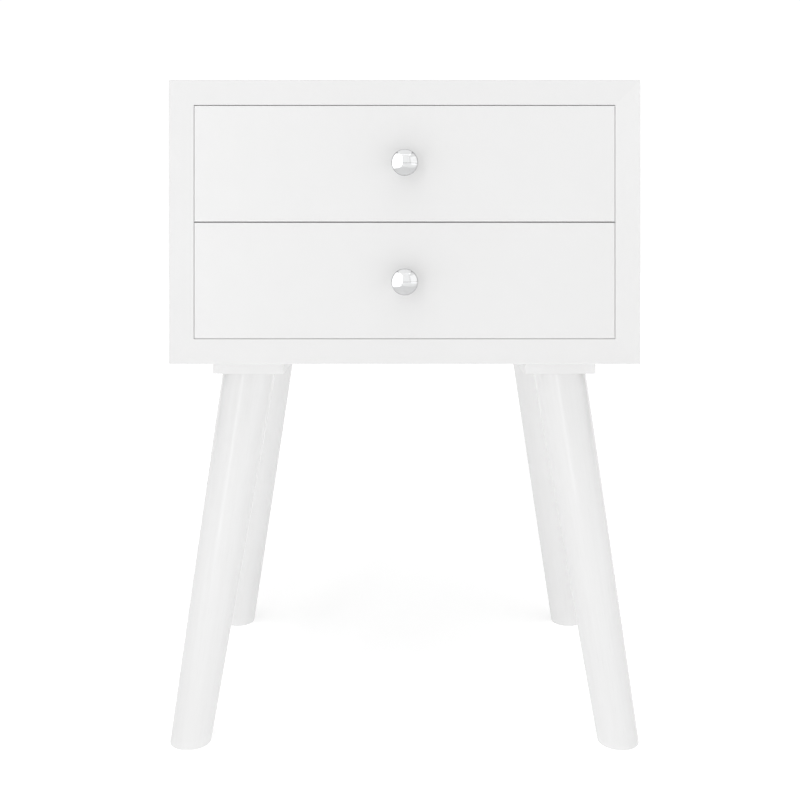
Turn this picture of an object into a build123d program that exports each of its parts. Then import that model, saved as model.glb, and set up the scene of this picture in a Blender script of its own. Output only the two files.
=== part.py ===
from build123d import *

import os
from math import sqrt, tan, radians

# A white two-drawer bedside cabinet on four splayed, tapered round legs.
# Millimetres, +Z up, X to the right of someone facing the drawers, drawers open towards -Y.
# The origin is on the floor, in the middle of the footprint of the whole piece.
# Each function builds its pieces in the frame of the case, whose middle is at x = 0 and y = 0;
# everything is moved to the final origin in one step when the files are written.

os.makedirs("parts", exist_ok=True)

# ---------------------------------------------------------------- driving dimensions
# whole piece
total_height = 560.0
case_width = 394.0
case_depth = 305.0
case_height = 237.5

# boards of the case
board = 21.0
outer_edge_radius = 0.8
mouth_edge_radius = 0.3
back_board = 3.0
back_setback = 9.0
back_groove_depth = 6.0
spline_thickness = 3.0
spline_width = 16.0
spline_inset = 13.5
spline_front_stop = 14.0
spline_back_stop = 18.0
mitre_angle = 45.0

# drawers
drawer_count = 2
reveal_above = 0.6
reveal_between = 0.8
reveal_below = 0.4
reveal_beside = 0.4
front_thickness = 16.0
front_edge_radius = 0.3
drawer_board = 12.0
drawer_side_height = 66.0
drawer_rim_radius = 1.5
drawer_side_length = 250.0
drawer_lift = 12.0
drawer_bottom = 3.0
drawer_bottom_lift = 10.0
drawer_groove_depth = 5.0
drawer_travel = 185.0

# dowels and screws of the drawers
dowel_radius = 3.0
dowel_in_front = 11.0
dowel_in_side = 19.0
dowel_heights = (24.0, 52.0)
back_screw_heights = (30.0, 52.0)
back_screw_length = 32.0

# round knobs: a domed head on a neck that flares up to it
knob_reach = 25.0
knob_radius = 11.0
knob_dome_radius = 15.5
knob_head_thickness = 9.5
knob_front_rim_radius = 2.4
knob_back_rim_radius = 2.0
knob_flare_radius = 7.0
knob_flare_length = 5.0
knob_neck_radius = 4.5
knob_base_radius = 7.0
knob_base_thickness = 1.5
knob_screw_radius = 2.0
knob_screw_length = 25.0
knob_screw_head_radius = 4.0
knob_screw_head_height = 2.6
knob_thread_spare = 1.0

# roller slides of folded steel sheet
slide_space = 12.5
sheet = 1.0
bend_radius = 0.9
rail_length = 250.0
rail_setback = 2.0
rail_flange = 10.5
rail_headroom = 0.6
drawer_flange_height = 15.0
drawer_flange_gap = 3.0
roller_radius = 7.0
roller_width = 6.8
roller_edge = 0.6
roller_from_end = 12.0
rolling_gap = 0.3
side_play = 0.3
rivet_radius = 2.0
rivet_running_gap = 0.05
rivet_head_radius = 3.5
rivet_head_height = 1.0
rivet_collar_height = 0.3
stop_tab_height = 5.0
stop_tab_width = 8.0
rail_screw_radius = 1.75
rail_screw_length = 15.0
rail_screw_head_radius = 3.5
rail_screw_head_height = 1.4
rail_screw_margin = 32.0

# legs and their blocks
block_size = 61.0
block_thickness = 12.5
block_edge_radius = 0.8
block_inset = 31.5
leg_offset = 2.7
leg_splay = 8.05
leg_top_radius = 23.0
leg_foot_radius = 17.0
foot_edge_radius = 0.8
block_screw_radius = 2.0
block_screw_head_radius = 4.0
block_screw_length = 28.0
block_screw_offset = 22.0
bolt_radius = 4.0
bolt_in_leg = 30.0
bolt_above_leg = 16.0
insert_radius = 6.0
insert_length = 9.0
insert_below_top = 1.4
relief_radius = 7.0
relief_length = 8.0
glide_radius = 12.5
glide_thickness = 3.0
glide_reveal = 0.5
glide_edge_radius = 0.4
glide_nail_radius = 1.1
glide_nail_length = 12.0

# crossed recesses in the heads of all screws
drive_depth = 1.0
drive_width = 0.9
drive_share = 0.6

# clearances between pieces that are glued, screwed or pushed together
bore_clearance = 0.1
groove_clearance = 0.1
groove_end_clearance = 0.4

# how far a cutting shape runs past the face it opens
overrun = 1.0

# ---------------------------------------------------------------- worked out from them
case_bottom = total_height - case_height
case_front = -case_depth / 2
case_back = case_depth / 2
half_width = case_width / 2
inside_half = half_width - board
inside_low = case_bottom + board
inside_high = total_height - board

reveals = reveal_above + reveal_between * (drawer_count - 1) + reveal_below
front_height = (inside_high - inside_low - reveals) / drawer_count
front_half = inside_half - reveal_beside
front_back = case_front + front_thickness
side_outer = inside_half - slide_space
side_inner = side_outer - drawer_board
side_back = front_back + drawer_side_length

rail_front = front_back + rail_setback
rail_back = rail_front + rail_length
front_axle_y = rail_front + roller_from_end
rear_axle_y = rail_back - sheet - rolling_gap - roller_radius
axle_lift = drawer_flange_height - rolling_gap - roller_radius
track_lift = axle_lift - roller_radius - rolling_gap
rail_top_lift = drawer_flange_height + sheet + rail_headroom

leg_slope = tan(radians(leg_splay))
leg_top = case_bottom - block_thickness
block_x = half_width - block_inset - block_size / 2
block_y = case_depth / 2 - block_inset - block_size / 2
leg_x = block_x + leg_offset
leg_y = block_y + leg_offset

drawers = {"lower_drawer": 0, "upper_drawer": 1}
sides = {"left": -1, "right": 1}
ends = {"front": -1, "back": 1}


# ---------------------------------------------------------------- helpers
def span(x_range, y_range, z_range):
    """A box between two values on each axis, given in either order."""
    sizes = [abs(high - low) for low, high in (x_range, y_range, z_range)]
    middles = [(high + low) / 2 for low, high in (x_range, y_range, z_range)]
    return Pos(*middles) * Box(*sizes)


def prism(outline, y_range):
    """A solid whose outline is a list of x, z points, between two values of y."""
    low, high = y_range
    face = make_face(Polyline([(x, low, z) for x, z in outline], close=True))
    return extrude(face, amount=high - low, dir=(0, 1, 0))


def rod(start, direction, radius, length):
    """A round bar from a point along a direction."""
    place = Plane(origin=start, z_dir=direction)
    return place * Cylinder(radius, length, align=(Align.CENTER, Align.CENTER, Align.MIN))


def cone(start, direction, first_radius, last_radius, length):
    """A cone frustum from a point along a direction."""
    place = Plane(origin=start, z_dir=direction)
    low_end = (Align.CENTER, Align.CENTER, Align.MIN)
    return place * Cone(first_radius, last_radius, length, align=low_end)


def point_along(start, direction, distance):
    """The point at a distance from start, along a direction of any length."""
    return Vector(*start) + Vector(*direction).normalized() * distance


def drive_recess(top, direction, head_radius):
    """The crossed recess that a screwdriver fits, cut along direction from the top of a head."""
    reach = 2 * drive_share * head_radius
    low_end = (Align.CENTER, Align.CENTER, Align.MIN)
    cross = Box(reach, drive_width, drive_depth, align=low_end)
    cross += Box(drive_width, reach, drive_depth, align=low_end)
    return Plane(origin=top, z_dir=direction) * cross


def flat_screw_hole(head_point, direction, radius, head_radius, length, grow):
    """The countersunk outline of a wood screw, made larger by grow."""
    head = cone(head_point, direction, head_radius + grow, radius + grow, head_radius - radius)
    return head + rod(head_point, direction, radius + grow, length + grow)


def flat_screw(head_point, direction, radius, head_radius, length):
    """A countersunk wood screw whose head is flush at head_point."""
    blank = flat_screw_hole(head_point, direction, radius, head_radius, length, 0.0)
    return blank - drive_recess(head_point, direction, head_radius)


def pan_screw(seat, direction, radius, head_radius, head_height, length):
    """A flat pan-head screw whose head sits on the seat and whose shank runs along direction."""
    top = point_along(seat, direction, -head_height)
    head = rod(top, direction, head_radius, head_height)
    return head + rod(seat, direction, radius, length) - drive_recess(top, direction, head_radius)


def group(pieces):
    """Separate identical pieces that share one file."""
    return Compound([solid for piece in pieces for solid in piece.solids()])


def beside(side, u_range, y_range, z_range):
    """A box at one side of the case, where u runs inwards from the inner face of the case side."""
    x_range = [side * (inside_half - u) for u in u_range]
    return span(x_range, y_range, z_range)


# ---------------------------------------------------------------- case
def mitre_slots(grow=0.0):
    """The four splines across the mitres, or with grow the slots they lie in."""
    length = case_depth - spline_front_stop - spline_back_stop
    middle_y = (spline_front_stop - spline_back_stop) / 2
    middle_z = case_bottom + case_height / 2
    slots = []
    for x_sign in (-1, 1):
        for z_sign in (-1, 1):
            x = x_sign * (half_width - spline_inset)
            z = middle_z + z_sign * (case_height / 2 - spline_inset)
            strip = Box(spline_width + 2 * grow, length + 2 * grow, spline_thickness + 2 * grow)
            slots.append(Pos(x, middle_y, z) * Rot(0, mitre_angle * x_sign * z_sign, 0) * strip)
    return slots


def back_board_solid(grow, depth):
    """The thin back board reaching a depth into its grooves."""
    y = case_back - back_setback - back_board
    return span(
        (-inside_half - depth, inside_half + depth),
        (y - grow, y + back_board + grow),
        (inside_low - depth, inside_high + depth),
    )


def case_ring():
    """All four boards of the case as one ring, before it is parted at the mitres."""
    outer = span((-half_width, half_width), (case_front, case_back), (case_bottom, total_height))
    outer = fillet(outer.edges(), outer_edge_radius)
    inner = span(
        (-inside_half, inside_half),
        (case_front - overrun, case_back + overrun),
        (inside_low, inside_high),
    )
    ring = outer - inner
    middle_z = case_bottom + case_height / 2
    mouth = [
        edge
        for edge in ring.edges().group_by(Axis.Y)[0]
        if abs(edge.center().X) < half_width - board / 2
        and abs(edge.center().Z - middle_z) < (case_height - board) / 2
    ]
    ring = fillet(mouth, mouth_edge_radius)
    ring -= back_board_solid(groove_clearance, back_groove_depth)
    return ring - mitre_slots(groove_clearance)


def mitred_boards():
    """The four boards of the case, parted along the diagonals of its corners."""
    low, high = case_bottom, total_height
    outside = {
        "top_panel": [(-half_width, high), (half_width, high)],
        "right_side_panel": [(half_width, high), (half_width, low)],
        "bottom_panel": [(half_width, low), (-half_width, low)],
        "left_side_panel": [(-half_width, low), (-half_width, high)],
    }
    ring = case_ring()
    middle_z = (low + high) / 2
    boards = {}
    for name, corners in outside.items():
        inside = [
            (x - board * (1 if x > 0 else -1), z - board * (1 if z > middle_z else -1))
            for x, z in reversed(corners)
        ]
        wedge = prism(corners + inside, (case_front - overrun, case_back + overrun))
        boards[name] = ring & wedge
    return boards


# ---------------------------------------------------------------- legs
def leg_places():
    """Name, x sign and y sign of each leg."""
    return [
        (f"{end}_{side}", sides[side], ends[end])
        for end in ends
        for side in sides
    ]


def leg_direction(x_sign, y_sign):
    """Down along the axis of a leg."""
    return (x_sign * leg_slope, y_sign * leg_slope, -1)


def leg_solid(x_sign, y_sign):
    """A tapered round leg, cut level at both ends and rounded at the foot."""
    down = leg_direction(x_sign, y_sign)
    spare = 2 * leg_foot_radius
    axis_length = (leg_top - glide_reveal) * Vector(*down).length
    taper = (leg_top_radius - leg_foot_radius) / axis_length
    start = point_along((x_sign * leg_x, y_sign * leg_y, leg_top), down, -spare)
    shaft = cone(
        start,
        down,
        leg_top_radius + taper * spare,
        leg_foot_radius - taper * spare,
        axis_length + 2 * spare,
    )
    reach = 2 * case_width
    leg = shaft & span((-reach, reach), (-reach, reach), (glide_reveal, leg_top))
    foot_edge = leg.faces().sort_by(Axis.Z)[0].edges()
    return fillet(foot_edge, foot_edge_radius)


def foot_middle(x_sign, y_sign):
    """Where the axis of a leg meets the bottom of the foot."""
    drop = leg_top - glide_reveal
    x = x_sign * (leg_x + drop * leg_slope)
    y = y_sign * (leg_y + drop * leg_slope)
    return (x, y, glide_reveal)


def glide(x_sign, y_sign, grow=0.0):
    """A plastic glide with its nail, or with grow the recess and hole that take them."""
    x, y, _ = foot_middle(x_sign, y_sign)
    disc = rod((x, y, 0), (0, 0, 1), glide_radius + grow, glide_thickness)
    if not grow:
        disc = fillet(disc.faces().sort_by(Axis.Z)[0].edges(), glide_edge_radius)
    nail = rod((x, y, glide_thickness), (0, 0, 1), glide_nail_radius + grow, glide_nail_length + grow)
    return disc + nail


def hanger_bolt(x_sign, y_sign, grow=0.0):
    """The bolt on the axis of a leg, half in the leg and half above it."""
    down = leg_direction(x_sign, y_sign)
    top = point_along((x_sign * leg_x, y_sign * leg_y, leg_top), down, -bolt_above_leg)
    return rod(top, down, bolt_radius + grow, bolt_above_leg + bolt_in_leg + grow)


def leg_insert(x_sign, y_sign, grow=0.0):
    """The threaded insert in a block, or with grow the pocket that opens on top of the block."""
    down = leg_direction(x_sign, y_sign)
    axis_in_block = block_thickness * Vector(*down).length
    above = axis_in_block if grow else axis_in_block - insert_below_top
    length = insert_length + grow + (insert_below_top if grow else 0)
    top = point_along((x_sign * leg_x, y_sign * leg_y, leg_top), down, -above)
    body = rod(top, down, insert_radius + grow, length)
    if grow:
        return body + rod(point_along(top, down, -insert_radius), down, insert_radius + grow, length)
    return body - hanger_bolt(x_sign, y_sign, bore_clearance)


def bolt_relief(x_sign, y_sign):
    """The blind hole in the bottom board that the top of a hanger bolt stands in."""
    down = leg_direction(x_sign, y_sign)
    start = point_along((x_sign * leg_x, y_sign * leg_y, case_bottom), down, relief_radius)
    return rod(start, [-value for value in down], relief_radius, relief_length + relief_radius)


def block_screw_sizes(x_sign, y_sign):
    """Head point, direction, radii and length of each of the four screws of a block."""
    sizes = (block_screw_radius, block_screw_head_radius, block_screw_length)
    return [
        (
            (x_sign * block_x + i * block_screw_offset, y_sign * block_y + j * block_screw_offset, leg_top),
            (0, 0, 1),
            *sizes,
        )
        for i in (-1, 1)
        for j in (-1, 1)
    ]


def block_screws(x_sign, y_sign):
    """The four screws that hold a block to the bottom board."""
    return [flat_screw(*sizes) for sizes in block_screw_sizes(x_sign, y_sign)]


def block_screw_holes(x_sign, y_sign):
    """The holes for the four screws of a block, in the block and in the bottom board."""
    return [flat_screw_hole(*sizes, bore_clearance) for sizes in block_screw_sizes(x_sign, y_sign)]


def leg_block(x_sign, y_sign):
    """A square block between the case and a leg, with its screw holes and its insert pocket."""
    x, y, half = x_sign * block_x, y_sign * block_y, block_size / 2
    block = span((x - half, x + half), (y - half, y + half), (leg_top, case_bottom))
    block = fillet(block.edges().filter_by(Axis.Z), block_edge_radius)
    block -= leg_insert(x_sign, y_sign, bore_clearance)
    block -= hanger_bolt(x_sign, y_sign, 2 * bore_clearance)
    return block - block_screw_holes(x_sign, y_sign)


# ---------------------------------------------------------------- slides
def front_low(level):
    """Height of the lower edge of a drawer front above the floor."""
    return inside_low + reveal_below + level * (front_height + reveal_between)


def side_height(level):
    """Height of the lower edge of the drawer sides above the floor."""
    return front_low(level) + drawer_lift


def case_rail_screw_places():
    """How far back the screws of a case rail are."""
    first, last = rail_front + rail_screw_margin, rail_back - rail_screw_margin
    return (first, (first + last) / 2, last)


def drawer_rail_screw_places():
    """How far back the screws of a drawer rail are."""
    first, last = front_back + rail_screw_margin, side_back - rail_screw_margin
    return (first, (first + last) / 2, last)


def rail_screw(seat, direction):
    """One screw of a slide rail."""
    return pan_screw(
        seat, direction, rail_screw_radius, rail_screw_head_radius, rail_screw_head_height, rail_screw_length
    )


def rail_screw_hole(seat, direction):
    """The hole in rail and board for one rail screw."""
    start = point_along(seat, direction, -sheet / 2)
    return rod(start, direction, rail_screw_radius + bore_clearance, rail_screw_length + sheet)


def case_rail_screw_seats(side, level):
    """Where the heads of the screws of a case rail rest, and which way the screws go."""
    x = side * (inside_half - sheet)
    z = side_height(level) + axle_lift
    return [((x, y, z), (side, 0, 0)) for y in case_rail_screw_places()]


def drawer_rail_screw_seats(side, level):
    """Where the heads of the screws of a drawer rail rest, and which way the screws go."""
    x = side * (side_outer - (drawer_board - drawer_groove_depth) / 2)
    z = side_height(level) - sheet
    return [((x, y, z), (0, 0, 1)) for y in drawer_rail_screw_places()]


def case_rail(side, level):
    """A channel on the case side. Its lower flange is the track of the drawer's rear roller."""
    base = side_height(level)
    track, roof = base + track_lift, base + rail_top_lift
    length = (rail_front, rail_back)
    web = beside(side, (0, sheet), length, (track - sheet, roof + sheet))
    lower = beside(side, (0, rail_flange), length, (track - sheet, track))
    upper = beside(side, (0, rail_flange), length, (roof, roof + sheet))
    rear_stop = beside(side, (0, rail_flange - sheet), (rail_back - sheet, rail_back), (track, roof))
    below_axle = roller_radius + rolling_gap - stop_tab_height
    reach = sqrt((roller_radius + rolling_gap) ** 2 - below_axle**2)
    tab_y = rear_axle_y - drawer_travel - reach
    tab = beside(side, (0, sheet + stop_tab_width), (tab_y - sheet, tab_y), (track, track + stop_tab_height))
    rail = web + lower + upper
    bends = rail.edges().filter_by(Axis.Y).group_by(Axis.X)[-1 if side > 0 else 0]
    rail = fillet(bends, bend_radius) + rear_stop + tab
    rail -= [rail_screw_hole(*seat) for seat in case_rail_screw_seats(side, level)]
    return rail - rod(
        (side * (inside_half + sheet), front_axle_y, base + axle_lift),
        (-side, 0, 0),
        rivet_radius + bore_clearance,
        3 * sheet,
    )


def drawer_rail(side, level):
    """A folded rail under a drawer side. Its outer flange rests on the front roller of the case rail."""
    base = side_height(level)
    length = (front_back, side_back)
    foot = beside(side, (slide_space - sheet, slide_space + drawer_board), length, (base - sheet, base))
    web = beside(side, (slide_space - sheet, slide_space), length, (base, base + drawer_flange_height))
    flange_top = base + drawer_flange_height + sheet
    flange = beside(side, (drawer_flange_gap, slide_space), length, (flange_top - sheet, flange_top))
    rail = foot + web + flange
    rail -= [rail_screw_hole(*seat) for seat in drawer_rail_screw_seats(side, level)]
    return rail - rod(
        (side * (side_outer - sheet), rear_axle_y, base + axle_lift),
        (side, 0, 0),
        rivet_radius + bore_clearance,
        3 * sheet,
    )


def roller(side, level, first_u, axle_y):
    """A plastic roller from first_u inwards, bored to run on its rivet."""
    start = (side * (inside_half - first_u), axle_y, side_height(level) + axle_lift)
    wheel = rod(start, (-side, 0, 0), roller_radius, roller_width)
    wheel = fillet(wheel.edges().filter_by(GeomType.CIRCLE), roller_edge)
    return wheel - rod(start, (-side, 0, 0), rivet_radius + rivet_running_gap, roller_width)


def rivet(side, level, back_u, web_face_u, towards, axle_y):
    """A shouldered rivet from back_u, through the web of its rail, to a head beyond the roller."""
    z = side_height(level) + axle_lift
    direction = (-side * towards, 0, 0)
    tail = (side * (inside_half - back_u), axle_y, z)
    web_face = (side * (inside_half - web_face_u), axle_y, z)
    head_at = rivet_collar_height + 2 * side_play + roller_width
    shank = rod(tail, direction, rivet_radius, sheet + head_at)
    collar = rod(web_face, direction, rivet_head_radius, rivet_collar_height)
    head = rod(point_along(web_face, direction, head_at), direction, rivet_head_radius, rivet_head_height)
    return shank + collar + head


def front_roller(side, level):
    """The roller on the case rail."""
    return roller(side, level, sheet + rivet_collar_height + side_play, front_axle_y)


def rear_roller(side, level):
    """The roller on the drawer rail."""
    inner_face = slide_space - sheet - rivet_collar_height - side_play
    return roller(side, level, inner_face - roller_width, rear_axle_y)


def front_rivet(side, level):
    """The rivet that the front roller turns on."""
    return rivet(side, level, 0, sheet, 1, front_axle_y)


def rear_rivet(side, level):
    """The rivet that the rear roller turns on."""
    return rivet(side, level, slide_space, slide_space - sheet, -1, rear_axle_y)


# ---------------------------------------------------------------- drawers
def drawer_bottom_board(level, grow, depth):
    """The thin bottom of a drawer reaching a depth into its grooves."""
    z = side_height(level) + drawer_bottom_lift
    return span(
        (-side_inner - depth, side_inner + depth),
        (front_back - depth, side_back - drawer_board + depth),
        (z - grow, z + drawer_bottom + grow),
    )


def drawer_dowels(level, grow=0.0):
    """The dowels between the front and the sides of a drawer."""
    x = side_outer - drawer_board / 2
    start_y = front_back - dowel_in_front - grow
    length = dowel_in_front + dowel_in_side + 2 * grow
    return [
        rod((side * x, start_y, side_height(level) + height), (0, 1, 0), dowel_radius + grow, length)
        for side in sides.values()
        for height in dowel_heights
    ]


def back_screw_sizes(level):
    """Head point, direction, radii and length of each screw through a drawer side into the back."""
    y = side_back - drawer_board / 2
    sizes = (rail_screw_radius, rail_screw_head_radius, back_screw_length)
    return [
        ((side * side_outer, y, side_height(level) + height), (-side, 0, 0), *sizes)
        for side in sides.values()
        for height in back_screw_heights
    ]


def drawer_back_screws(level):
    """The wood screws through the drawer sides into the ends of the back."""
    return [flat_screw(*sizes) for sizes in back_screw_sizes(level)]


def drawer_back_screw_holes(level):
    """The holes of those screws, in the sides and in the back."""
    return [flat_screw_hole(*sizes, bore_clearance) for sizes in back_screw_sizes(level)]


def knob_place(level):
    """Where the axis of the knob meets the drawer front."""
    return (0, case_front, front_low(level) + front_height / 2)


def knob_screw(level):
    """The machine screw through the drawer front into the knob."""
    x, _, z = knob_place(level)
    return pan_screw(
        (x, front_back, z),
        (0, -1, 0),
        knob_screw_radius,
        knob_screw_head_radius,
        knob_screw_head_height,
        knob_screw_length,
    )


def knob(level):
    """A domed round head on a flared neck with a thin round base."""
    place = knob_place(level)
    outward = (0, -1, 0)
    head_back = knob_reach - knob_head_thickness
    dome_middle = point_along(place, outward, knob_reach - knob_dome_radius)
    head = rod(point_along(place, outward, head_back), outward, knob_radius, knob_head_thickness)
    head &= Pos(*dome_middle) * Sphere(knob_dome_radius)
    rims = head.edges().filter_by(GeomType.CIRCLE).sort_by(Axis.Y)
    head = fillet(rims[-1], knob_back_rim_radius)
    rims = head.edges().filter_by(GeomType.CIRCLE).sort_by(Axis.Y)
    head = fillet(rims[0], knob_front_rim_radius)
    neck = rod(place, outward, knob_neck_radius, head_back)
    flare_start = point_along(place, outward, head_back - knob_flare_length)
    neck += cone(flare_start, outward, knob_neck_radius, knob_flare_radius, knob_flare_length)
    base = rod(place, outward, knob_base_radius, knob_base_thickness)
    thread = knob_screw_length - front_thickness + knob_thread_spare
    return head + neck + base - rod(place, outward, knob_screw_radius + bore_clearance, thread)


def drawer_front(level):
    """The drawer front, flush in the mouth of the case."""
    low = front_low(level)
    front = span((-front_half, front_half), (case_front, front_back), (low, low + front_height))
    front = fillet(front.faces().sort_by(Axis.Y)[0].edges(), front_edge_radius)
    front -= drawer_bottom_board(level, groove_clearance, drawer_groove_depth)
    front -= drawer_dowels(level, bore_clearance)
    return front - rod(knob_place(level), (0, 1, 0), knob_screw_radius + bore_clearance, front_thickness)


def drawer_side(side, level):
    """A drawer side, grooved for the bottom."""
    base = side_height(level)
    plank = span(
        (side * side_inner, side * side_outer),
        (front_back, side_back),
        (base, base + drawer_side_height),
    )
    rim = plank.faces().sort_by(Axis.Z)[-1].edges().filter_by(Axis.Y)
    plank = fillet(rim, drawer_rim_radius)
    groove_z = base + drawer_bottom_lift
    plank -= span(
        (side * (side_inner - overrun), side * (side_inner + drawer_groove_depth)),
        (front_back - overrun, side_back + overrun),
        (groove_z - groove_clearance, groove_z + drawer_bottom + groove_clearance),
    )
    plank -= drawer_dowels(level, bore_clearance)
    plank -= drawer_back_screw_holes(level)
    return plank - [rail_screw_hole(*seat) for seat in drawer_rail_screw_seats(side, level)]


def drawer_back(level):
    """The back of a drawer, between its sides."""
    base = side_height(level)
    plank = span(
        (-side_inner, side_inner), (side_back - drawer_board, side_back), (base, base + drawer_side_height)
    )
    rim = plank.faces().sort_by(Axis.Z)[-1].edges().filter_by(Axis.X)
    plank = fillet(rim, drawer_rim_radius)
    plank -= drawer_bottom_board(level, groove_clearance, drawer_groove_depth)
    return plank - drawer_back_screw_holes(level)


# ---------------------------------------------------------------- assembly
def case_pieces():
    """The boards of the case with the holes for what is screwed to them, and those fixings."""
    pieces = mitred_boards()
    places = leg_places()
    for _, x_sign, y_sign in places:
        pieces["bottom_panel"] -= block_screw_holes(x_sign, y_sign)
        pieces["bottom_panel"] -= bolt_relief(x_sign, y_sign)
    rail_screws = []
    rivets = []
    for drawer, level in drawers.items():
        for name, side in sides.items():
            seats = case_rail_screw_seats(side, level)
            pieces[f"{name}_side_panel"] -= [rail_screw_hole(*seat) for seat in seats]
            rail_screws += [rail_screw(*seat) for seat in seats]
            rivets.append(front_rivet(side, level))
            stem = drawer.replace("drawer", name)
            pieces[f"{stem}_case_rail"] = case_rail(side, level)
            pieces[f"{stem}_front_roller"] = front_roller(side, level)
    pieces["back_panel"] = back_board_solid(0, back_groove_depth - groove_end_clearance)
    pieces["corner_splines"] = group(mitre_slots())
    pieces["case_rail_screws"] = group(rail_screws)
    pieces["case_roller_rivets"] = group(rivets)
    return pieces


def leg_pieces():
    """The blocks, legs and glides, and what holds them together."""
    pieces = {}
    places = leg_places()
    for name, x_sign, y_sign in places:
        pieces[f"{name}_leg_block"] = leg_block(x_sign, y_sign)
        leg = leg_solid(x_sign, y_sign) - hanger_bolt(x_sign, y_sign, bore_clearance)
        pieces[f"{name}_leg"] = leg - glide(x_sign, y_sign, bore_clearance)
    signs = [place[1:] for place in places]
    pieces["leg_block_screws"] = group(screw for pair in signs for screw in block_screws(*pair))
    pieces["leg_inserts"] = group(leg_insert(*pair) for pair in signs)
    pieces["leg_hanger_bolts"] = group(hanger_bolt(*pair) for pair in signs)
    pieces["foot_glides"] = group(glide(*pair) for pair in signs)
    return pieces


def drawer_pieces(drawer, level):
    """Everything that moves with one drawer, its rear rollers included."""
    depth = drawer_groove_depth - groove_end_clearance
    pieces = {
        f"{drawer}_front": drawer_front(level),
        f"{drawer}_back": drawer_back(level),
        f"{drawer}_bottom": drawer_bottom_board(level, 0, depth),
        f"{drawer}_knob": knob(level),
        f"{drawer}_knob_screw": knob_screw(level),
        f"{drawer}_dowels": group(drawer_dowels(level)),
        f"{drawer}_back_screws": group(drawer_back_screws(level)),
    }
    rail_screws = []
    for name, side in sides.items():
        stem = drawer.replace("drawer", name)
        pieces[f"{drawer}_{name}_side"] = drawer_side(side, level)
        pieces[f"{stem}_drawer_rail"] = drawer_rail(side, level)
        pieces[f"{stem}_rear_roller"] = rear_roller(side, level)
        rail_screws += [rail_screw(*seat) for seat in drawer_rail_screw_seats(side, level)]
    pieces[f"{drawer}_rail_screws"] = group(rail_screws)
    pieces[f"{drawer}_roller_rivets"] = group(rear_rivet(side, level) for side in sides.values())
    return pieces


nodes = case_pieces() | leg_pieces()
for drawer_name, drawer_level in drawers.items():
    nodes |= drawer_pieces(drawer_name, drawer_level)

foremost = nodes["upper_drawer_knob"].bounding_box().min.Y
rearmost = nodes["back_left_leg"].bounding_box().max.Y
middle_y = (foremost + rearmost) / 2
for node_name, node in nodes.items():
    export_step(Pos(0, -middle_y, 0) * node, f"parts/{node_name}.step")

print(f"moved by {-middle_y:.4f} mm along y; {len(nodes)} pieces")
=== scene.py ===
import math

import bmesh
import bpy
from mathutils import Matrix, Vector


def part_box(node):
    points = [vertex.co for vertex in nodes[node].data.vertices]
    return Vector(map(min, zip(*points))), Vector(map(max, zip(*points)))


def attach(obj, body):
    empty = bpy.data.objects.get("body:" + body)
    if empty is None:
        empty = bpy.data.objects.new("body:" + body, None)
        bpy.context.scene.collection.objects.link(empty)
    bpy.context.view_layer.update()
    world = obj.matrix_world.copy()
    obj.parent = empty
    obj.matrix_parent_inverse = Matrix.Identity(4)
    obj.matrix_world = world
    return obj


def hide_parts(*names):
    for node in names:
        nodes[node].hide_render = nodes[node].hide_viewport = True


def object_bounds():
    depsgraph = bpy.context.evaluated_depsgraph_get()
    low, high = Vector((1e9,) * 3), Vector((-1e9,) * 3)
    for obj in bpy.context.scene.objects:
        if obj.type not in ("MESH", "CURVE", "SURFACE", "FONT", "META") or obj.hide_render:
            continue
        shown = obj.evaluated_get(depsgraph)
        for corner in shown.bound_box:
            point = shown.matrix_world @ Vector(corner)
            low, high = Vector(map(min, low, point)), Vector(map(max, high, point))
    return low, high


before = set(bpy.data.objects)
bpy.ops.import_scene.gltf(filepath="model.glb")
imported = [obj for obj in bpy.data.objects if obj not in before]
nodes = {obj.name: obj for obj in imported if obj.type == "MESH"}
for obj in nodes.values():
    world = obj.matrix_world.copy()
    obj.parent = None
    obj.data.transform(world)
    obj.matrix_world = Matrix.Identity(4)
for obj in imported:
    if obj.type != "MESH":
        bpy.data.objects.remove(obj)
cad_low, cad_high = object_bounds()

# A white two-drawer nightstand in a soft white studio.
# Metres, +Z up, drawers open towards -Y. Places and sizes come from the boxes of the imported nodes.

MM = 0.001
levels = ("upper", "lower")
sides = ("left", "right")
leg_names = ("front_left", "front_right", "back_left", "back_right")

case_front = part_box("upper_drawer_front")[0].y


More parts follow.
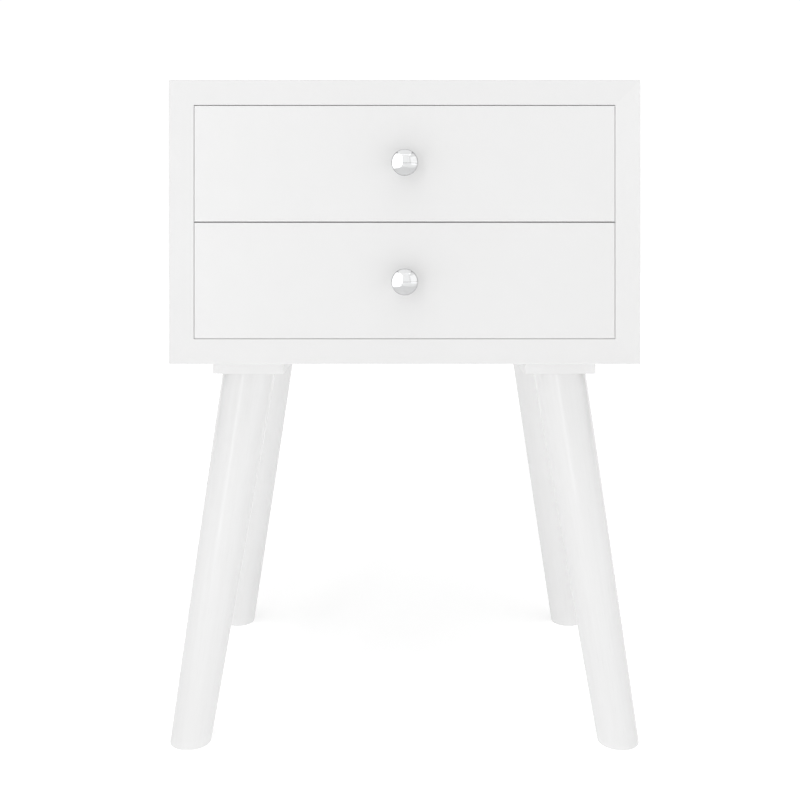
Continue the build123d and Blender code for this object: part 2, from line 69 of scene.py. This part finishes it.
# ---------------------------------------------------------------- node helpers
class Tree:
    """A short way to write a material's node tree."""

    def __init__(self, name):
        self.material = bpy.data.materials.new(name)
        self.material.use_nodes = True
        self.nodes = self.material.node_tree.nodes
        self.links = self.material.node_tree.links
        self.shader = self.nodes["Principled BSDF"]
        self.coordinates = self.add("ShaderNodeTexCoord").outputs["Object"]

    def add(self, kind, inputs=None, **settings):
        """A node with its settings; inputs are values, or sockets to link from."""
        node = self.nodes.new(kind)
        for key, value in settings.items():
            setattr(node, key, value)
        for key, value in (inputs or {}).items():
            self.join(value, node.inputs[key])
        return node

    def join(self, value, socket):
        """Links a socket, or sets a plain value."""
        if isinstance(value, bpy.types.NodeSocket):
            self.links.new(value, socket)
        else:
            socket.default_value = value

    def mapped(self, scale=(1, 1, 1), rotation=(0, 0, 0)):
        """The object's own coordinates, turned and then scaled."""
        turn = self.add(
            "ShaderNodeMapping", {"Vector": self.coordinates, "Rotation": rotation}, vector_type="POINT"
        )
        stretch = self.add("ShaderNodeMapping", {"Vector": turn.outputs[0], "Scale": scale})
        return stretch.outputs[0]

    def noise(self, scale, vector=None, detail=4.0, roughness=0.5, distortion=0.0):
        """A noise value from 0 to 1."""
        inputs = {"Scale": scale, "Detail": detail, "Roughness": roughness, "Distortion": distortion}
        inputs["Vector"] = self.coordinates if vector is None else vector
        return self.add("ShaderNodeTexNoise", inputs).outputs["Fac"]

    def spread(self, value, low, high, start=0.3, end=0.7):
        """Maps value from start..end to low..high, held at both ends."""
        inputs = {"Value": value, "From Min": start, "From Max": end, "To Min": low, "To Max": high}
        return self.add("ShaderNodeMapRange", inputs).outputs["Result"]

    def sum(self, first, second, operation="ADD"):
        """Two values added, or joined by another operation."""
        node = self.add("ShaderNodeMath", operation=operation)
        self.join(first, node.inputs[0])
        self.join(second, node.inputs[1])
        return node.outputs[0]

    def blend(self, factor, first, second, kind="MIX"):
        """A mix of two colours."""
        node = self.add("ShaderNodeMix", data_type="RGBA", blend_type=kind)
        self.join(factor, node.inputs["Factor"])
        self.join(first, node.inputs["A"])
        self.join(second, node.inputs["B"])
        return node.outputs["Result"]

    def bump(self, height, distance, strength=1.0, before=None):
        """A bump normal whose relief is distance deep; before is a bump it is laid on."""
        inputs = {"Height": height, "Distance": distance, "Strength": strength}
        if before is not None:
            inputs["Normal"] = before
        return self.add("ShaderNodeBump", inputs).outputs["Normal"]

    def finish(self, **values):
        """Sets or links the shader's sockets, given as words with _ for spaces."""
        for key, value in values.items():
            self.join(value, self.shader.inputs[key.replace("_", " ")])
        return self.material


def grey(value, warmth=0.0):
    """A nearly neutral colour; warmth adds a little red and takes a little blue."""
    return (value + warmth, value, value - warmth, 1.0)


# ---------------------------------------------------------------- materials
def lacquered_board(name, shade=0.80, gloss=0.0):
    """Sprayed white lacquer on smooth board: faint orange peel, soft haze, dust nibs; gloss 0 is matt."""
    tree = Tree(name)
    cloud = tree.noise(4.5, detail=3.0)
    mottle = tree.noise(55.0, detail=5.0, roughness=0.6)
    tone = tree.blend(tree.spread(cloud, 0.0, 1.0), grey(shade - 0.010, 0.001), grey(shade + 0.006, 0.0))
    tone = tree.blend(tree.spread(mottle, 0.0, 0.35), tone, grey(shade - 0.016, 0.0015))
    peel = tree.noise(620.0, detail=2.0, roughness=0.45)
    wave = tree.noise(70.0, detail=2.0)
    nibs = tree.spread(tree.noise(1500.0, detail=1.0), 0.0, 1.0, 0.70, 0.82)
    normal = tree.bump(wave, 0.05 * MM, 0.5)
    normal = tree.bump(peel, 0.012 * MM, 0.6, normal)
    normal = tree.bump(nibs, 0.03 * MM, 0.4, normal)
    rough = tree.sum(tree.spread(mottle, 0.46, 0.56), tree.spread(peel, 0.0, 0.05))
    return tree.finish(
        Base_Color=tone, Roughness=rough, Normal=normal, IOR=1.48, Coat_Weight=gloss, Coat_Roughness=0.22
    )


def painted_leg(name, tilt, shade=0.80):
    """Brushed white paint over turned wood: long grain and brush marks show faintly along the leg."""
    tree = Tree(name)
    along = tree.mapped(scale=(1.0, 1.0, 0.035), rotation=tilt)
    pores = tree.mapped(scale=(1.0, 1.0, 0.06), rotation=tilt)
    rubbed = tree.mapped(scale=(1.0, 1.0, 0.35), rotation=tilt)
    grain = tree.noise(260.0, along, detail=5.0, roughness=0.62)
    pore = tree.spread(tree.noise(900.0, pores, detail=2.0), 0.0, 1.0, 0.60, 0.74)
    brush = tree.noise(95.0, along, detail=3.0)
    ripple = tree.noise(150.0, rubbed, detail=4.0, roughness=0.6)
    cloud = tree.noise(9.0, detail=2.0)
    tone = tree.blend(tree.spread(cloud, 0.0, 1.0), grey(shade - 0.012, 0.001), grey(shade + 0.004))
    tone = tree.blend(tree.spread(grain, 0.0, 0.55, 0.42, 0.70), tone, grey(shade - 0.030, 0.002))
    tone = tree.blend(tree.sum(pore, 0.25, "MULTIPLY"), tone, grey(shade - 0.07, 0.003))
    normal = tree.bump(brush, 0.12 * MM, 0.5)
    normal = tree.bump(ripple, 0.30 * MM, 0.5, normal)
    normal = tree.bump(grain, 0.06 * MM, 0.5, normal)
    normal = tree.bump(tree.sum(1.0, pore, "SUBTRACT"), 0.04 * MM, 0.35, normal)
    rough = tree.sum(tree.spread(brush, 0.42, 0.54), tree.spread(grain, 0.0, 0.08))
    return tree.finish(
        Base_Color=tone, Roughness=rough, Normal=normal, IOR=1.48, Coat_Weight=0.7, Coat_Roughness=0.13
    )


def faced_hardboard(name, shade=0.80):
    """White-faced hardboard: faint pressed texture with small flecks."""
    tree = Tree(name)
    fleck = tree.spread(tree.noise(420.0, detail=4.0, roughness=0.7), 0.0, 1.0, 0.62, 0.78)
    cloud = tree.noise(12.0, detail=4.0)
    tone = tree.blend(tree.spread(cloud, 0.0, 1.0), grey(shade - 0.02, 0.004), grey(shade + 0.01, 0.003))
    tone = tree.blend(tree.sum(fleck, 0.3, "MULTIPLY"), tone, grey(shade - 0.16, 0.01))
    press = tree.noise(900.0, detail=3.0)
    normal = tree.bump(press, 0.03 * MM, 0.7)
    rough = tree.spread(press, 0.45, 0.62)
    return tree.finish(Base_Color=tone, Roughness=rough, Normal=normal, IOR=1.45)


def bare_wood(name, light, dark, stretch, ring_scale=34.0):
    """Sanded solid wood with growth rings, fine grain and pores drawn out along one axis."""
    tree = Tree(name)
    along = tree.mapped(scale=stretch)
    warp = tree.noise(6.0, along, detail=3.0)
    rings = tree.add(
        "ShaderNodeTexWave",
        {"Vector": along, "Scale": ring_scale, "Distortion": 5.0, "Detail": 3.0, "Detail Scale": 1.4},
        wave_type="BANDS",
        bands_direction="DIAGONAL",
        wave_profile="SAW",
    ).outputs["Fac"]
    grain = tree.noise(700.0, along, detail=6.0, roughness=0.7)
    pore = tree.spread(tree.noise(1400.0, along, detail=2.0), 0.0, 1.0, 0.62, 0.76)
    tone = tree.blend(tree.spread(rings, 0.0, 0.75, 0.15, 0.95), light, dark)
    tone = tree.blend(tree.spread(warp, 0.0, 0.4), tone, dark)
    tone = tree.blend(tree.spread(grain, 0.0, 0.5), tone, [channel * 0.82 for channel in dark[:3]] + [1.0])
    tone = tree.blend(tree.sum(pore, 0.5, "MULTIPLY"), tone, [channel * 0.5 for channel in dark[:3]] + [1.0])
    normal = tree.bump(grain, 0.05 * MM, 0.7)
    normal = tree.bump(tree.sum(1.0, pore, "SUBTRACT"), 0.05 * MM, 0.5, normal)
    rough = tree.spread(grain, 0.48, 0.68)
    return tree.finish(Base_Color=tone, Roughness=rough, Normal=normal, IOR=1.45)


def polished_chrome(name):
    """Mirror chrome with faint polishing haze, finger marks and pin scratches."""
    tree = Tree(name)
    smear = tree.spread(tree.noise(170.0, detail=3.0, distortion=1.2), 0.0, 1.0, 0.50, 0.72)
    fine = tree.noise(2600.0, tree.mapped(scale=(1.0, 1.0, 0.05)), detail=2.0)
    tone = tree.blend(smear, grey(0.555, -0.004), grey(0.525, -0.002))
    rough = tree.sum(tree.spread(smear, 0.035, 0.085, 0.0, 1.0), tree.spread(fine, 0.0, 0.02))
    normal = tree.bump(fine, 0.002 * MM, 0.3)
    return tree.finish(Base_Color=tone, Metallic=1.0, Roughness=rough, Normal=normal)


def zinc_steel(name):
    """Bright zinc plate on steel fixings: brushed, with a slight blue-yellow cast."""
    tree = Tree(name)
    cast = tree.noise(240.0, detail=3.0)
    fine = tree.noise(1800.0, detail=4.0, roughness=0.65)
    tone = tree.blend(tree.spread(cast, 0.0, 1.0), (0.60, 0.61, 0.63, 1.0), (0.66, 0.65, 0.60, 1.0))
    tone = tree.blend(tree.spread(fine, 0.0, 0.4), tone, grey(0.42))
    normal = tree.bump(fine, 0.02 * MM, 0.5)
    rough = tree.spread(fine, 0.24, 0.42)
    return tree.finish(Base_Color=tone, Metallic=1.0, Roughness=rough, Normal=normal, Anisotropic=0.3)


def coated_steel(name):
    """White powder coat on folded steel sheet: fine pebble and slight grime in the runs."""
    tree = Tree(name)
    pebble = tree.noise(1100.0, detail=2.0)
    wave = tree.noise(160.0, detail=3.0)
    dust = tree.noise(26.0, tree.mapped(scale=(1.0, 0.12, 1.0)), detail=4.0)
    tone = tree.blend(tree.spread(dust, 0.0, 0.5), grey(0.84, 0.003), grey(0.76, 0.006))
    normal = tree.bump(wave, 0.08 * MM, 0.5)
    normal = tree.bump(pebble, 0.02 * MM, 0.6, normal)
    rough = tree.sum(tree.spread(pebble, 0.22, 0.30), tree.spread(dust, 0.0, 0.12))
    return tree.finish(
        Base_Color=tone, Roughness=rough, Normal=normal, IOR=1.5, Coat_Weight=0.3, Coat_Roughness=0.15
    )


def moulded_plastic(name, colour, rough_low, rough_high, through=0.0):
    """Moulded plastic with a fine spark texture and slight flow marks."""
    tree = Tree(name)
    spark = tree.noise(1900.0, detail=2.0)
    flow = tree.noise(110.0, detail=3.0, distortion=0.8)
    worn = [channel * 0.9 for channel in colour[:3]] + [1.0]
    tone = tree.blend(tree.spread(flow, 0.0, 0.6), colour, worn)
    normal = tree.bump(spark, 0.012 * MM, 0.6)
    rough = tree.spread(spark, rough_low, rough_high)
    return tree.finish(
        Base_Color=tone,
        Roughness=rough,
        Normal=normal,
        IOR=1.53,
        Subsurface_Weight=through,
        Subsurface_Radius=(0.002, 0.0015, 0.001),
    )


# ---------------------------------------------------------------- dressing the CAD nodes
def dress(node, material):
    """Gives a CAD node, which keeps its shape, one material all over."""
    mesh = nodes[node].data
    mesh.materials.clear()
    mesh.materials.append(material)


front_white = lacquered_board("white_lacquer_drawer_fronts", shade=0.772, gloss=0.35)
# Painted light: the leg blocks get a lighter copy of the white lacquer, which offsets the shade they sit in
# under the case.
block_white_painted_light = lacquered_board("white_lacquer_leg_blocks_painted_light", shade=0.82)
hardboard = faced_hardboard("white_hardboard")
birch_light, birch_dark = (0.74, 0.60, 0.42, 1.0), (0.62, 0.46, 0.29, 1.0)
beech_light, beech_dark = (0.66, 0.46, 0.29, 1.0), (0.55, 0.36, 0.21, 1.0)
birch_long = bare_wood("birch_along_y", birch_light, birch_dark, (1.0, 0.05, 1.0))
birch_wide = bare_wood("birch_along_x", birch_light, birch_dark, (0.05, 1.0, 1.0))
beech = bare_wood("beech_dowel", beech_light, beech_dark, (1.0, 0.06, 1.0), ring_scale=60.0)
chrome = polished_chrome("polished_chrome")
zinc = zinc_steel("zinc_plated_steel")
epoxy = coated_steel("white_coated_slide_steel")
nylon = moulded_plastic("roller_nylon", grey(0.80, 0.01), 0.28, 0.4, through=0.15)
glide_plastic = moulded_plastic("glide_plastic", grey(0.70, 0.005), 0.42, 0.58)

# Painted shade: each frame board gets its own copy of the white lacquer, a little darker or lighter as the
# light falls on it. The top board is darkest and the right board is lightest.
board_painted_shades = {
    "top_panel": 0.766,
    "bottom_panel": 0.774,
    "left_side_panel": 0.770,
    "right_side_panel": 0.780,
}
for board_name, board_painted_shade in board_painted_shades.items():
    dress(board_name, lacquered_board(f"white_lacquer_{board_name}", board_painted_shade))
dress("back_panel", hardboard)
dress("corner_splines", beech)
for leg_name in leg_names:
    dress(f"{leg_name}_leg_block", block_white_painted_light)
for fixing in ("leg_block_screws", "leg_inserts", "leg_hanger_bolts"):
    dress(fixing, zinc)
for fixing in ("case_rail_screws", "case_roller_rivets"):
    dress(fixing, zinc)
dress("foot_glides", glide_plastic)
for level in levels:
    drawer = f"{level}_drawer"
    dress(f"{drawer}_front", front_white)
    dress(f"{drawer}_back", birch_wide)
    dress(f"{drawer}_bottom", hardboard)
    dress(f"{drawer}_dowels", beech)
    for fixing in ("knob_screw", "back_screws", "rail_screws", "roller_rivets"):
        dress(f"{drawer}_{fixing}", zinc)
    for side in sides:
        dress(f"{drawer}_{side}_side", birch_long)
        for rail in ("case_rail", "drawer_rail"):
            dress(f"{level}_{side}_{rail}", epoxy)
        for roller in ("front_roller", "rear_roller"):
            dress(f"{level}_{side}_{roller}", nylon)


# ---------------------------------------------------------------- finer pieces in place of CAD nodes
def lathe(name, outline, place, axis, turns):
    """A smooth turned solid. outline is a list of (radius, distance along axis) from one end to the other."""
    on_axis = 1e-7
    mesh = bpy.data.meshes.new(name)
    shape = bmesh.new()
    turn = Vector((0, 0, 1)).rotation_difference(Vector(axis)).to_matrix().to_4x4()
    to_place = Matrix.Translation(place) @ turn
    rings = []
    for radius, height in outline:
        if radius < on_axis:
            rings.append([shape.verts.new(to_place @ Vector((0, 0, height)))])
            continue
        angles = [2 * math.pi * step / turns for step in range(turns)]
        ring = [Vector((radius * math.cos(a), radius * math.sin(a), height)) for a in angles]
        rings.append([shape.verts.new(to_place @ point) for point in ring])
    for lower, upper in zip(rings, rings[1:]):
        for step in range(turns):
            after = (step + 1) % turns
            corners = [lower[step % len(lower)], lower[after % len(lower)]]
            corners += [upper[after % len(upper)], upper[step % len(upper)]]
            unique = list(dict.fromkeys(corners))
            shape.faces.new(unique)
    bmesh.ops.recalc_face_normals(shape, faces=shape.faces)
    for face in shape.faces:
        face.smooth = True
    shape.to_mesh(mesh)
    shape.free()
    piece = bpy.data.objects.new(name, mesh)
    bpy.context.scene.collection.objects.link(piece)
    return piece


def arc(centre, radius, start, end, steps):
    """Points (radius, height) of an arc about a centre (radius, height), between two angles in degrees."""
    points = []
    for step in range(steps + 1):
        angle = math.radians(start + (end - start) * step / steps)
        points.append((centre[0] + radius * math.cos(angle), centre[1] + radius * math.sin(angle)))
    return points


def turned_knob(drawer):
    """A polished round knob: a domed head with soft rims, a flared neck and a rounded base."""
    low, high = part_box(f"{drawer}_knob")
    head, reach = (high.x - low.x) / 2, high.y - low.y
    dome, thickness, front_rim, back_rim = 15.5 * MM, 9.5 * MM, 2.4 * MM, 2.0 * MM
    neck, flare, flare_length = 4.5 * MM, 7.0 * MM, 5.0 * MM
    base, base_thickness, base_rim, waist = 7.0 * MM, 1.5 * MM, 0.45 * MM, 1.6 * MM
    bore, thread = 2.1 * MM, 10.0 * MM
    head_back = reach - thickness

    # screw hole, base and neck
    outline = [(0.0, thread), (bore, thread), (bore, 0.0), (base - base_rim, 0.0)]
    outline += arc((base - base_rim, base_rim), base_rim, -90, 0, 5)
    outline += arc((base - base_rim, base_thickness - base_rim), base_rim, 0, 90, 5)
    outline += arc((neck + waist, base_thickness + waist), waist, 270, 180, 8)
    flare_steps, flare_power = 12, 2.5
    for step in range(flare_steps + 1):
        share = step / flare_steps
        radius = neck + (flare - neck) * share**flare_power
        outline.append((radius, head_back - flare_length * (1 - share)))

    # head: back rim, front rim where the dome meets the side, and the dome
    outline += arc((head - back_rim, head_back + back_rim), back_rim, -90, 0, 12)
    rim_middle = head - front_rim
    rim_angle = math.asin(rim_middle / (dome - front_rim))
    rim_height = reach - dome + (dome - front_rim) * math.cos(rim_angle)
    rim_end = 90 - math.degrees(rim_angle)
    outline += arc((rim_middle, rim_height), front_rim, 0, rim_end, 16)
    outline += arc((0.0, reach - dome), dome, rim_end, 90, 40)[1:]
    outline[-1] = (0.0, reach)

    place = Vector(((low.x + high.x) / 2, high.y, (low.z + high.z) / 2))
    piece = lathe(f"{drawer}_round_knob", outline, place, (0, -1, 0), turns=128)
    piece.data.materials.append(chrome)
    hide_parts(f"{drawer}_knob")
    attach(piece, drawer)


for level in levels:
    turned_knob(f"{level}_drawer")


def leg_axis(name):
    """The middle of the top and of the foot of a leg, from the outline of its CAD node."""
    same_height = 0.05 * MM
    points = [vertex.co for vertex in nodes[f"{name}_leg"].data.vertices]
    low_z = min(point.z for point in points)
    high_z = max(point.z for point in points)
    ends = []
    for height in (high_z, low_z):
        level_points = [point for point in points if abs(point.z - height) < same_height]
        xs = [point.x for point in level_points]
        ys = [point.y for point in level_points]
        ends.append(Vector(((min(xs) + max(xs)) / 2, (min(ys) + max(ys)) / 2, height)))
    return ends


for leg_name in leg_names:
    top, foot = leg_axis(leg_name)
    lean = (foot - top).normalized()
    upright = lean.rotation_difference(Vector((0, 0, -1))).to_euler()
    leg_paint = painted_leg(f"white_paint_{leg_name}_leg", tuple(upright))
    dress(f"{leg_name}_leg", leg_paint)


# ---------------------------------------------------------------- camera
camera_distance = 0.8918
camera_height = 0.4418
camera_left = 0.0060
camera_lens = 48.06
camera_shift = (0.0033, -0.2233)

camera_data = bpy.data.cameras.new("camera")
camera_data.sensor_width = 36.0
camera_data.lens = camera_lens
camera_data.shift_x, camera_data.shift_y = camera_shift
camera = bpy.data.objects.new("camera", camera_data)
camera.location = (-camera_left, case_front - camera_distance, camera_height)
camera.rotation_euler = (math.radians(90), 0, 0)
bpy.context.scene.collection.objects.link(camera)
bpy.context.scene.camera = camera


# ---------------------------------------------------------------- studio
middle = (cad_low + cad_high) / 2


def softbox(name, azimuth, elevation, distance, size, radiance, target=middle, only_for=()):
    """A white rectangular light facing a target, by default the object's middle.

    azimuth is in degrees from the front, positive to the object's left as the camera sees it.
    radiance 1 is as bright as the picture's white. only_for names the pieces that it lights, if not all.
    """
    turn, rise = math.radians(azimuth), math.radians(elevation)
    direction = Vector((-math.sin(turn) * math.cos(rise), -math.cos(turn) * math.cos(rise), math.sin(rise)))
    data = bpy.data.lights.new(name, "AREA")
    data.shape = "RECTANGLE"
    data.size, data.size_y = size
    data.energy = radiance * math.pi * size[0] * size[1]
    light = bpy.data.objects.new(name, data)
    light.location = target + direction * distance
    light.rotation_euler = direction.to_track_quat("Z", "Y").to_euler()
    bpy.context.scene.collection.objects.link(light)
    if only_for:
        light.visible_camera = False
        receivers = bpy.data.collections.new(f"{name}_receivers")
        for piece in only_for:
            receivers.objects.link(bpy.data.objects[piece])
        light.light_linking.receiver_collection = receivers


def knob_cards(drawer):
    """White cards close to the front that only this drawer's knob reflects, as a photographer sets them."""
    knob = f"{drawer}_round_knob"
    low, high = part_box(f"{drawer}_knob")
    level = Vector((0.0, case_front, (low.z + high.z) / 2))
    card_distance = 0.5
    for side, azimuth, bottom, top, width, radiance in (
        ("left", 53.5, -0.27, 0.60, 0.62, 1.6),
        ("front", -2.5, 0.0, 0.60, 0.46, 0.88),
        ("right", -56, 0.0, 0.60, 0.56, 0.7),
        ("low", -30, -0.27, 0.0, 0.95, 0.22),
    ):
        target = level + Vector((0.0, 0.0, (bottom + top) / 2))
        size = (width, top - bottom)
        softbox(f"{knob}_{side}_card", azimuth, 0, card_distance, size, radiance, target, [knob])


def white_surround(shown, in_front, behind):
    """A plain white room. shown is how bright the camera sees it.

    in_front and behind are how much light it gives from either side of the object, and it blends from one
    to the other over the directions between front_edge and back_edge, which are their y values.
    """
    front_edge, back_edge = -0.35, 0.45
    world = bpy.data.worlds.new("studio")
    world.use_nodes = True
    tree = world.node_tree
    background = tree.nodes["Background"]
    background.inputs["Color"].default_value = (1.0, 1.0, 1.0, 1.0)
    direction = tree.nodes.new("ShaderNodeTexCoord")
    split = tree.nodes.new("ShaderNodeSeparateXYZ")
    light = tree.nodes.new("ShaderNodeMapRange")
    light.interpolation_type = "SMOOTHSTEP"
    levels_by_side = {"From Min": front_edge, "From Max": back_edge, "To Min": in_front, "To Max": behind}
    for key, value in levels_by_side.items():
        light.inputs[key].default_value = value
    path = tree.nodes.new("ShaderNodeLightPath")
    level = tree.nodes.new("ShaderNodeMix")
    level.inputs["B"].default_value = shown
    tree.links.new(direction.outputs["Generated"], split.inputs[0])
    tree.links.new(split.outputs["Y"], light.inputs["Value"])
    tree.links.new(path.outputs["Is Camera Ray"], level.inputs["Factor"])
    tree.links.new(light.outputs["Result"], level.inputs["A"])
    tree.links.new(level.outputs["Result"], background.inputs["Strength"])
    bpy.context.scene.world = world


def plain_floor(reach=8.0, glow_near=0.41, glow_far=0.80):
    """One wide pale floor that glows with its own painted light, like a photographer's table lit from below:
    more towards the horizon, and less near the object, where the glow lightens the shade under it.
    """
    near, far = 0.8, 3.5
    mesh = bpy.data.meshes.new("floor")
    corners = [(-reach, -reach, 0), (reach, -reach, 0), (reach, reach, 0), (-reach, reach, 0)]
    mesh.from_pydata(corners, [], [(0, 1, 2, 3)])
    floor = bpy.data.objects.new("floor", mesh)
    bpy.context.scene.collection.objects.link(floor)
    tree = Tree("glowing_floor_white")
    tone = tree.blend(tree.noise(2.0), grey(0.93), grey(0.94))
    outward = tree.add("ShaderNodeVectorMath", {"Vector": tree.coordinates}, operation="LENGTH")
    # Painted light: the floor's own glow, growing with the distance from the middle.
    glow = tree.spread(outward.outputs["Value"], glow_near, glow_far, near, far)
    white = grey(1.0)
    mesh.materials.append(
        tree.finish(Base_Color=tone, Roughness=0.9, Emission_Color=white, Emission_Strength=glow)
    )


plain_floor()
white_surround(shown=1.05, in_front=0.66, behind=0.28)
softbox("left_softbox", 66, 14, 2.0, (2.6, 2.2), 0.22)
softbox("left_strip", 18, 10, 2.2, (0.30, 2.4), 2.7)
softbox("right_panel", -62, 14, 2.2, (2.0, 1.8), 0.33)
softbox("top_softbox", 0, 80, 2.2, (2.6, 2.6), 0.80)
for level in levels:
    knob_cards(f"{level}_drawer")

bpy.context.scene.view_settings.view_transform = "Standard"
